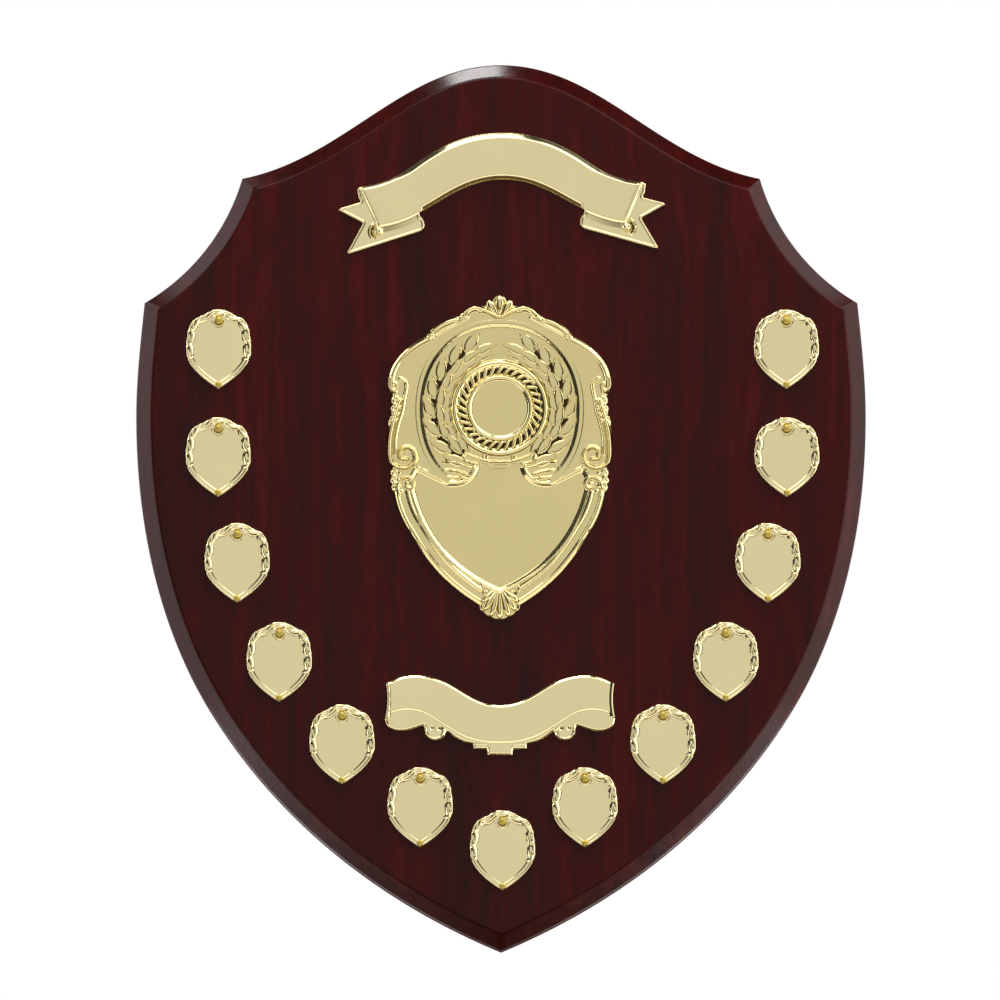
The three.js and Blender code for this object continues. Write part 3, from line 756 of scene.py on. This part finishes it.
def bottom_scroll():
    """The smaller ribbon, with its folded edge, two curls and stepped tab."""
    outline = mirrored(trace((0, 4.4), [
        [9, 4.4, 14, 8.5, 21.5, 13], [28, 16.9, 41, 21.5, 51.8, 13.8], [50.4, 6, 52.2, -1.8],
        [51.9, -6.8, 46.4, -7.5], [41, -7.9, 38, -5.5, 34.4, -5], [35.2, -11.3, 29.5, -11.8],
        [24.8, -11.8, 24.4, -7.2], [20, -11.2, 16, -13, 12.2, -13.3], [12, -15.6], [5.9, -15.8], [5.6, -18.4],
        [0, -18.4],
    ], 24))
    fold = smooth([(51.0, -0.2), (46.5, 1.6), (41, 2.1), (35, 0.9), (29.5, -2.2), (22, -7.0), (15, -10.6),
                   (7, -12.6), (0, -13.0)])
    crease = smooth([(50.6, -2.0), (46, 0.2), (41, 0.7), (35.6, -0.6), (30, -3.7), (23, -8.2), (16, -11.7)])
    def heights(points):
        depth = depth_inside(outline, points)[0]
        relief = Relief(points, 0)
        relief.h = bevelled(depth, ((0, 1.35), (1.0, 2.15), (1.3, 2.17), (1.65, 2.0), (2.1, 2.06)))
        for side in (1, -1):
            local = points * (side, 1)
            distance, _, hand, _ = nearest(fold[::-1], local)
            above = (hand > 0) & (local[:, 0] > 0)
            raised = 0.32 * np.clip(distance / 0.8, 0, 1)
            inner = np.clip((depth - 0.9) / 1.2, 0, 1)
            relief.h = np.where(above, relief.h + raised * inner, relief.h)
        relief.groove(fold, 0.45, 0.06)
        relief.groove(crease, 0.4, 0.07)
        # The band's ends turn up
        end = nearest(trace((51.8, 13.8), [[50.4, 6, 52.2, -1.4]], 12), rightward(points))[0]
        upturn = bevelled(end, ((0, 2.3), (0.3, 2.95), (0.6, 3.02), (2.15, 2.08), (2.2, 0)))
        relief.h = np.where(points[:, 1] > -1.4, np.maximum(relief.h, upturn), relief.h)
        relief.bead(arc((29.6, -7.0), 4.0, 165, 375, 40), 0.6, 2.6, 1.6, soft=True)
        for centre, radius in zip(FOOT_PITS, (0.7, 0.6)):
            relief.pit(centre, radius, 1.2)
        relief.groove(trace((12.2, -14.0), [[5.7, -14.2], [5.5, -16.4]], 1), 0.35, 0.3)
        return relief.h
    # The two pits of the curl take painted shade
    def hollows(points):
        near = [np.hypot(*(rightward(points) - centre).T) for centre in FOOT_PITS]
        return (near[0] < 0.7) | (near[1] < 0.65)
    mesh = hang(plate_mesh("scroll_plate", outline, heights, hollows), BOTTOM_SCROLL_PLACE)
    piece("ribbon_foot", mesh, [GOLD, HOLLOW_SHADE], ["bottom_scroll"])


# Record shields and their pins

def record_outline():
    half, w = RECORD_HALF_HEIGHT, RECORD_HALF_WIDTH
    smooth_half = spaced(trace((0, half), [
        [0.22 * w, half], [0.45 * w, 0.86 * half, 0.66 * w, 0.86 * half, 0.84 * w, 0.69 * half],
        [0.95 * w, 0.56 * half, w, 0.24 * half, w, 0], [w, -0.42 * half, 0.5 * w, -0.75 * half, 0, -half],
    ], 30), 120)
    inward = directions(smooth_half)[1]
    way = np.linspace(0, 1, len(smooth_half))
    fade = np.clip((way - 0.06) * 14, 0, 1) * np.clip((0.62 - way) * 8, 0, 1)
    swell = 0.17 * np.sin(way * 2 * math.pi * 8) * fade
    return mirrored(smooth_half + inward * (0.1 + swell)[:, None] * np.clip(way * 20, 0, 1)[:, None])


def record_mesh():
    outline = record_outline()
    def heights(points):
        depth, way, _ = depth_inside(outline, points)
        twisted = np.degrees(np.arctan2(points[:, 1] + 4, points[:, 0])) > -3
        turn = 2 * math.pi * way / 14.2
        relief = Relief(points, 1.1)
        edge = bevelled(depth, ((0, 0.7), (0.25, 1.3), (0.7, 1.7), (1.2, 1.8), (1.8, 1.6), (2.4, 1.2),
                                (2.7, 1.1)))
        plain = bevelled(depth, ((0, 0.7), (0.2, 1.4), (0.6, 1.8), (0.95, 1.72), (1.35, 1.3), (1.65, 1.34),
                                 (2.0, 1.6), (2.35, 1.5), (2.8, 1.16), (3.1, 1.1)))
        strands = np.full(len(points), 0.7)
        for phase in (0, math.pi):
            middle = 1.65 + 0.8 * np.sin(turn + phase)
            top = 2.0 + 0.3 * np.cos(turn + phase)
            ratio = np.clip((depth - middle) / 1.25, -1, 1)
            strands = np.maximum(strands, 0.9 + (top - 0.9) * (1 - ratio ** 2) ** 0.7)
        line = 0.2 * np.exp(-((depth - 3.7) / 0.32) ** 2)
        strands = np.maximum(np.minimum(strands, 0.7 + 6 * np.maximum(depth, 0)), edge * 0.8)
        strands = np.where(depth < 3.3, strands, edge)
        border = np.where(twisted, strands + line, plain)
        relief.h = np.maximum(1.1 * np.clip(depth / 0.3 + 0.6, 0, 1), border)
        relief.bead(arc((0, TOP_PIN_HEIGHT), 2.75, 180, 360, 30), 0.7, 1.38, 1.1, both=False, soft=True)
        pocket = np.hypot(points[:, 0], points[:, 1] - TOP_PIN_HEIGHT)
        relief.h = np.where(pocket < 2.1, np.minimum(relief.h, 1.25), relief.h)
        return relief.h
    return plate_mesh("record_shield", outline, heights)


def places_of(nodes):
    """Where CAD nodes stand on the board, in plan millimetres."""
    middles = [sum(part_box(name), Vector()) / 2 / MM for name in nodes]
    return [(middle.x, middle.z, 0) for middle in middles]


def record_shields():
    """Thirteen like shields at the places of their CAD nodes."""
    nodes = [f"record_shield_{i:02d}" for i in range(1, RECORD_COUNT + 1)]
    mesh = set_out("record_shields", places_of(nodes), record_mesh(), GOLD)
    piece("record_shields", hang(mesh, (0, 0)), [GOLD], nodes)


def turned(name, profile, segments):
    """A turned solid from a profile of (radius, height) that starts and ends on the axis."""
    build = bmesh.new()
    edge = [build.verts.new((r, 0, h)) for r, h in profile]
    for a, b in zip(edge, edge[1:]):
        build.edges.new((a, b))
    bmesh.ops.spin(build, geom=build.verts[:] + build.edges[:], cent=(0, 0, 0), axis=(0, 0, 1),
                   angle=2 * math.pi, steps=segments)
    bmesh.ops.remove_doubles(build, verts=build.verts[:], dist=1e-4)
    bmesh.ops.recalc_face_normals(build, faces=build.faces[:])
    return softened(built(name, build), 50)


def pins():
    """Domed brass pins at the places of their CAD nodes."""
    for end, radius in (("top", 1.8), ("bottom", 1.5)):
        nodes = [f"pin_{i:02d}_{end}" for i in range(1, RECORD_COUNT + 1)]
        dome = [(radius * math.cos(a), 0.45 + 0.8 * math.sin(a)) for a in np.radians(np.arange(0, 90, 15))]
        profile = [(0, -8.8), (0.35, -8.0), (0.6, -7.2), (0.6, 0), (radius * 0.96, 0), *dome, (0, 1.25)]
        mesh = set_out("pins_" + end, places_of(nodes), turned("pin", profile, 20), BRASS)
        piece("pins_" + end, hang(mesh, (0, 0), SEAT + 1.55), [BRASS], nodes)


# Centre shield

def shield_outline():
    return mirrored(trace((0, 52.1), [
        *lobes([(0, 52.1), (3.4, 49), (6.9, 47), (8.3, 46)], 1), [10.5, 48.2, 14.4, 46.8, 16.2, 44.3],
        [18.6, 42.3], [24, 41, 31, 38, 33.4, 33], [37.5, 31.2, 41.8, 27.8], [50.6, 20.6, 50.8, 11.5],
        [50.8, 7, 48.8, 6.4], *lobes([(48.8, 6.4), (49.2, 1.8), (49.6, -2.6), (50.8, -8)], 0.6),
        [51.8, -12, 51.6, -22, 49.2, -27.2],
        *lobes([(49.2, -27.2), (49.5, -31), (49.4, -34.9), (48.2, -38.4)], 0.6), [46.4, -49.2, 40.8, -57.1],
        [35.3, -66.6, 28.6, -74.4], [20.6, -83.2, 9, -90.2],
        *lobes([(9, -90.2), (7.6, -93.2), (4, -95.6), (0, -96.6)], 0.6),
    ], 12))


def field_outline():
    return mirrored(trace((0, -25.6), [
        [7, -25.5, 10.8, -24.8], [11.4, -29.5, 14.6, -32.2], [18, -34.6, 23.4, -34], [28, -31.4, 38.2, -26.6],
        [41.6, -33],
        [37.5, -55, 25, -74, 0, -84.4],
    ], 20))


def oval_path():
    """The right half of the line that frames the wreath."""
    return trace((0, OVAL_TOP), [
        [0.6 * OVAL_HALF_WIDTH, OVAL_TOP, OVAL_HALF_WIDTH, 0.58 * OVAL_TOP, OVAL_HALF_WIDTH, 0],
        [OVAL_HALF_WIDTH, -17, 31.6, -26, 23.8, -33.4],
    ], 60)


def spindle(name, build, rings, tips, sharp=180):
    """A closed form through rings between two tips."""
    count = len(rings[0])
    for a, b in zip(rings, rings[1:]):
        for i in range(count):
            j = (i + 1) % count
            build.faces.new((a[i], b[i], b[j], a[j]))
    for i in range(count):
        j = (i + 1) % count
        build.faces.new((tips[0], rings[0][i], rings[0][j]))
        build.faces.new((tips[1], rings[-1][j], rings[-1][i]))
    bmesh.ops.recalc_face_normals(build, faces=build.faces[:])
    return softened(built(name, build), sharp)


def leaf_mesh(length, half, bend):
    """A flat pointed leaf that rises towards its tip, along u from its foot, with a midrib line."""
    build = bmesh.new()
    rows = []
    for share in (0.03, 0.12, 0.26, 0.42, 0.58, 0.72, 0.84, 0.93, 0.98):
        wide = half * math.sin(math.pi * share ** 0.85) ** 0.75
        rise = 0.7 + 0.9 * share
        sway = bend * share ** 2
        rows.append([build.verts.new((share * length, sway + wide * t, h)) for t, h in (
            (-1, -0.6), (-0.9, rise * 0.6), (-0.66, rise * 0.92), (0, rise * 0.9), (0.66, rise * 0.92),
            (0.9, rise * 0.6), (1, -0.6))])
    tips = [build.verts.new((u, v, -0.6)) for u, v in ((0, 0), (length, bend))]
    return spindle("leaf", build, rows, tips, 42)


def strand_mesh(length, half, rise):
    """One strand of a rope: a long bead, pointed at both ends."""
    build = bmesh.new()
    rings = []
    for share in np.linspace(-0.94, 0.94, 9):
        wide = math.sqrt(1 - share ** 2)
        bend = 0.45 * half * math.sin(share * math.pi / 2)
        rings.append([build.verts.new((share * length / 2, bend + half * wide * math.cos(a),
                                       rise * wide * math.sin(a)))
                      for a in np.radians(np.arange(0, 360, 45))])
    tips = [build.verts.new((s * length / 2, s * 0.45 * half, 0)) for s in (-1, 1)]
    return spindle("strand", build, rings, tips)


def shield_heights(points):
    """Relief of the centre shield, under its leaves, rope and shells."""
    outline = shield_outline()
    depth = depth_inside(outline, points)[0]
    relief = Relief(points, 0)
    relief.h = bevelled(depth, ((0, 0.9), (0.25, 1.5), (0.7, 2.0), (1.2, 2.2)))
    u, v = np.abs(points[:, 0]), points[:, 1]
    upper = (v > 7) & (v < 46) & (u > 8)
    rim = bevelled(depth, ((0, 1.9), (1.4, 3.05), (1.8, 3.2), (2.15, 3.1), (2.6, 2.45), (3.0, 2.2)))
    relief.h = np.where(upper, np.maximum(relief.h, rim), relief.h)
    lower = (v < -37.5) & (u > 8.4)
    steep_side = bevelled(depth, ((0, 1.1), (0.2, 1.7), (1.3, 2.85), (1.7, 2.95), (2.1, 2.7), (2.6, 2.1)))
    frame_side = bevelled(depth, ((0, 1.7), (1.5, 2.55), (1.9, 2.65), (2.2, 2.5), (2.6, 2.1), (5.4, 2.15),
                                  (5.8, 2.6), (6.1, 2.85), (6.4, 2.9), (8.5, 1.4)))
    high = np.clip((v + 68) / 8, 0, 1) * (depth < 2.6)
    relief.h = np.where(lower, frame_side + (steep_side - frame_side) * high, relief.h)
    oval, field_edge = oval_path(), field_outline()
    hollow = within(mirrored(oval), points)
    to_oval = nearest(oval, rightward(points))[0]
    relief.h = np.where(hollow, 2.2 - 0.65 * np.clip(to_oval / 3.8, 0, 1), relief.h)
    field = depth_inside(field_edge, points)[0]
    to_frame = nearest(field_edge[:len(field_edge) // 2 + 1], rightward(points))[0]
    step = 2.2 - field * 5
    below = np.maximum(2.9 - to_frame * 0.72, step)
    relief.h = np.where(field > 0, np.maximum(np.where(v < -27, below, step), 1.4), relief.h)
    relief.bead(oval, 2.0, 2.6, 2.05, soft=True)
    relief.groove(oval, 0.5, 0.14)
    ring = np.hypot(*points.T)
    dish = np.interp(ring, (0, 12.5, 12.9, 13.4, 14.1, 14.8, 15.4, 17.2, 19.0, 19.8, 20.4, 21.0, 21.7, 22.3),
                     (2.0, 2.0, 2.1, 2.7, 3.0, 2.75, 1.9, 1.7, 1.9, 2.5, 2.85, 2.9, 2.4, 1.5))
    relief.h = np.where(ring < 22.3, dish, relief.h)
    relief.lines(
        ([(11.2, -25.6), (12.4, -29.2), (15.0, -31.9), (18.8, -33.6), (23.6, -33.4), (27.8, -30.9),
          (37.6, -26.6)], 0.4, 2.5, 1.9),
        ([(0, -24.6), (6, -24.1), (12, -22.3), (16.5, -20.0)], 0.55, 2.5, 1.3))
    for side in (5.8, 7.2):
        relief.bead(trace((side, -21.8), [[side * 1.02, -23.9]], 1), 0.35, 2.5, 1.5)
    relief.lines(([(0.8, 41.8), (4.6, 43.8), (8.6, 45.4), (11.3, 46.0), (14.0, 45.0), (16.2, 43.2)],
                  1.1, 3.5, 1.9))
    relief.bead(smooth([(18.4, 41.0), (24.0, 39.2), (28.8, 36.0), (31.9, 32.8)]), 1.1, 3.4, 1.9, taper=0.25)
    relief.lines(([(14.0, 41.6), (19.7, 38.6), (26.7, 34.8), (30.2, 32.6)], 0.6, 2.9, 1.8))
    relief.knob((17.3, 42.5), 1.35, 3.7)
    relief.knob((31.0, 33.8), 1.35, 3.6)
    relief.pit((18.9, 41.0), 0.6, 1.0)
    relief.pit((29.6, 32.6), 0.5, 0.9)
    # The side volutes
    relief.lines(
        ([(45.2, 13.8), (42.4, 11), (43.4, 4), (44.4, -1.8), (46.0, -6.9), (47.4, -14), (47.4, -21)],
         0.8, 3.1, 1.6),
        ([(50.0, 14), (50.2, 10.4), (49.2, 8.4), (47.2, 8.6), (46.6, 10.4), (47.6, 11.4)], 0.8, 3.4, 1.4),
        ([(45.5, 3.7), (48.0, -4.8), (49.8, -13.7), (50.0, -22.2), (48.0, -26.2), (42.8, -27.4),
          (38.4, -24.2), (39.0, -19.8), (42.1, -17.8), (45.0, -19.6), (44.8, -23.0), (42.2, -23.4)],
         1.05, 3.7, 1.4),
        ([(45.6, -39.6), (46.4, -36.0), (44.6, -32.4), (41.2, -31.8), (39.2, -34.2), (40.2, -36.6),
          (42.2, -36.2)], 0.8, 3.4, 1.4))
    relief.knob((42.0, -34.4), 1.0, 3.0)
    for row_v, row_u in ((4.6, 47.2), (1.4, 47.4), (-1.8, 48.2), (-4.6, 49.0), (-28.6, 47.6), (-31.6, 48.0),
                         (-34.6, 47.6), (-37.0, 46.8)):
        relief.knob((row_u, row_v), 1.5, 3.3)
        relief.pit((row_u, row_v), 0.5, 0.7)
        relief.knob((row_u - 2.4, row_v - 1.0), 1.0, 2.9)
    relief.pit((6.2, -84.6), 1.1, 0.9)
    # The cut butts of the two branches
    for path in (((16.4, -19.0), (15.4, -24.0), (10.4, -25.4)),
                 ((25.3, -24.4), (19.7, -24.8), (14.1, -26.9), (11.2, -26.2)),
                 ((24.6, -28.2), (19.6, -28.8), (15.2, -30.2)),
                 ((22.8, -31.6), (18.6, -31.6), (14.8, -32.2))):
        relief.lines((path, 0.5, 2.6, 1.6))
    return relief.h


def shield_shaded_hollows(points):
    """Where the pressing is deepest, between the leaves and under the rope: these faces take painted shade.
    """
    ring = np.hypot(*points.T)
    angle = np.degrees(np.arctan2(points[:, 1], np.abs(points[:, 0])))
    leaves = (np.abs(ring - 28.2) < 3.6) & (angle > -52) & (angle < 64)
    return leaves | (np.abs(ring - ROPE_RADIUS) < 1.5)


def wreath_meshes():
    """The right branch of the wreath: three rows of leaves that follow an arc."""
    rows = []
    for name, radius, start, end, count, lean, length, half, bend, lift in (
            ("outer_leaves", 29.8, -60, 58, 8, -0.36, 12.6, 2.9, 0.9, 1.25),
            ("inner_leaves", 25.3, -56, 60, 8, 0.24, 11.8, 2.4, 1.3, 1.15),
            ("middle_leaves", 27.2, -51, 64, 8, 0.04, 12.6, 2.5, 1.2, 1.5)):
        rows.append(row(name, arc((0, 0), radius, start, end, 60), leaf_mesh(length, half, bend), count, lean,
                        (0.95, 0.95), lift, DEEP_GOLD))
    return rows


def rib_mesh(length, half, rise):
    """A rib that widens from a thin foot to a round end."""
    build = bmesh.new()
    rings = []
    for share in (0.04, 0.16, 0.32, 0.5, 0.66, 0.8, 0.91, 0.98):
        wide = math.sin(math.pi * share ** 1.7) ** 0.55
        rings.append([build.verts.new((share * length, half * wide * math.cos(a), rise * wide * math.sin(a)))
                      for a in np.radians(np.arange(0, 360, 30))])
    tips = [build.verts.new((x, 0, 0)) for x in (0, length)]
    return spindle("rib", build, rings, tips)


def fan_mesh(name, root, ribs, height):
    """Ribs that fan out from a root, each given as (direction, start, reach, half width, rise)."""
    meshes = []
    for direction, start, reach, half, rise in ribs:
        angle = math.radians(direction)
        rib = rib_mesh(reach - start, half, rise)
        root_point = (root[0] + start * math.cos(angle), root[1] + start * math.sin(angle), height)
        rib.transform(Matrix.Translation(root_point) @ Matrix.Rotation(angle, 4, "Z"))
        meshes.append(rib)
    return joined(name, meshes)


def centre_shield():
    plate = plate_mesh("centre_plate", shield_outline(), shield_heights, shield_shaded_hollows)
    rows = wreath_meshes()
    rope = row("rope_ring", arc((0, 0), ROPE_RADIUS, 0, 360 - 360 / 96, 96), strand_mesh(6.4, 0.95, 1.3),
               ROPE_STRANDS, math.radians(42), (1, 1), 1.9, DEEP_GOLD, closed=True)
    palmette = fan_mesh("palmette", (0, 41.0), [
        (90, 0.8, 11.0, 2.1, 1.7), (57, 0.8, 10.2, 2.1, 1.6), (123, 0.8, 10.2, 2.1, 1.6)], 2.1)
    shell = fan_mesh("shell", (0, -81.6), [
        (-90 + 16.5 * k, 1.4, 15.0 - 0.45 * k * k, 1.8, 1.6) for k in range(-3, 4)], 1.9)
    mesh = joined("centre_shield", [plate, *rows, *[flipped_mesh(m) for m in rows], rope, palmette, shell])
    mesh = hang(mesh, CENTRE_SHIELD_PLACE)
    piece("ornament_shield", mesh, [DEEP_GOLD, HOLLOW_SHADE], ["centre_shield"])


# Studio

CAMERA_DISTANCE = 4.0
CAMERA_TILT = math.radians(6.5)
FRAME_WIDTH = 454.7 * MM


def camera():
    """A little below the square-on line of the shield's middle."""
    data = bpy.data.cameras.new("camera")
    obj = linked("camera", data)
    target = Vector((-0.45 * MM, -BOARD_THICKNESS * MM, 1.7 * MM))
    obj.location = target + CAMERA_DISTANCE * Vector((0, -math.cos(CAMERA_TILT), -math.sin(CAMERA_TILT)))
    obj.rotation_euler = (target - obj.location).to_track_quat("-Z", "Y").to_euler()
    data.sensor_width = 36
    data.lens = 36 * CAMERA_DISTANCE / FRAME_WIDTH
    data.clip_end = 50
    bpy.context.scene.camera = obj


def panel(name, centre, toward, size, level, lights_wood=True):
    """A soft light panel of an even brightness. One that doesn't light the wood is only mirrored."""
    data = bpy.data.lights.new(name, "AREA")
    data.shape = "RECTANGLE"
    data.size, data.size_y = size
    data.energy = level * math.pi * size[0] * size[1]
    obj = linked(name, data)
    obj.location = centre
    obj.rotation_euler = (Vector(toward) - Vector(centre)).to_track_quat("-Z", "Y").to_euler()
    obj.visible_camera = False
    obj.visible_diffuse = lights_wood


def studio():
    """A dim warm floor, a white ground that only the camera sees, and light panels all round."""
    bpy.ops.mesh.primitive_plane_add(size=9, location=(0, 0, -0.75))
    floor = bpy.context.object
    floor.name = "floor"
    material, *_, bsdf = shader("floor_paper")
    bsdf.inputs["Base Color"].default_value = (0.09, 0.058, 0.023, 1)
    bsdf.inputs["Roughness"].default_value = 0.9
    floor.data.materials.append(material)
    world = bpy.context.scene.world or bpy.data.worlds.new("studio")
    bpy.context.scene.world = world
    world.use_nodes = True
    nodes = world.node_tree.nodes
    nodes.clear()
    out = nodes.new("ShaderNodeOutputWorld")
    seen = node(nodes, "ShaderNodeBackground", Color=(1, 1, 1, 1))
    around = node(nodes, "ShaderNodeBackground", Color=(0.9, 0.95, 1, 1), Strength=0.05)
    path, mix = nodes.new("ShaderNodeLightPath"), nodes.new("ShaderNodeMixShader")
    wire(world.node_tree.links, (path, "Is Camera Ray", mix, "Fac"), (around, 0, mix, 1), (seen, 0, mix, 2),
         (mix, 0, out, "Surface"))
    panel("front_panel", (0, -2.3, 0.55), (0, 0, 0.1), (2.6, 2.9), 0.76)
    panel("front_overhead", (0.1, -1.05, 1.45), (0.1, -0.3, 0), (2.3, 0.8), 2.3)
    panel("overhead_panel", (-0.21, -0.35, 1.6), (-0.21, 0, 0), (0.8, 0.5), 6)
    panel("right_card", (0.9, -0.5, 1.5), (0.9, -0.3, 0), (1, 0.6), 2.4)
    panel("crown_card", (-0.115, 0.175, 0.9), (-0.115, 0.05, 0.2), (0.23, 0.15), 28, False)
    panel("low_front_card", (0, -1, -0.71), (0, -1, 0), (2.8, 1.2), 1.3, False)
    panel("left_wall", (-1.4, 0.3, 0.65), (0, 0.3, 0.65), (1.3, 2.7), 2.6)
    panel("right_wall", (1.4, -0.05, 0.7), (0, -0.05, 0.7), (1.9, 2.8), 2.5)
    for side in (-1, 1):
        panel("floor_wing", (side * 0.98, 0.45, -0.72), (side * 0.98, 0.45, 0), (0.78, 0.7), 9)
        panel("inner_floor_card", (side * 0.46, 0.32, -0.71), (side * 0.46, 0.32, 0), (0.3, 0.45), 6)
    panel("middle_floor_card", (0, 0.32, -0.71), (0, 0.32, 0), (0.62, 0.45), 2)
    panel("back_panel", (0, 2.4, 0.8), (0, 0, 0), (2.4, 1.6), 0.9)
    bpy.context.scene.view_settings.view_transform = "Standard"
    bpy.context.scene.view_settings.look = "None"


camera()
board()
top_scroll()
bottom_scroll()
record_shields()
pins()
centre_shield()
studio()
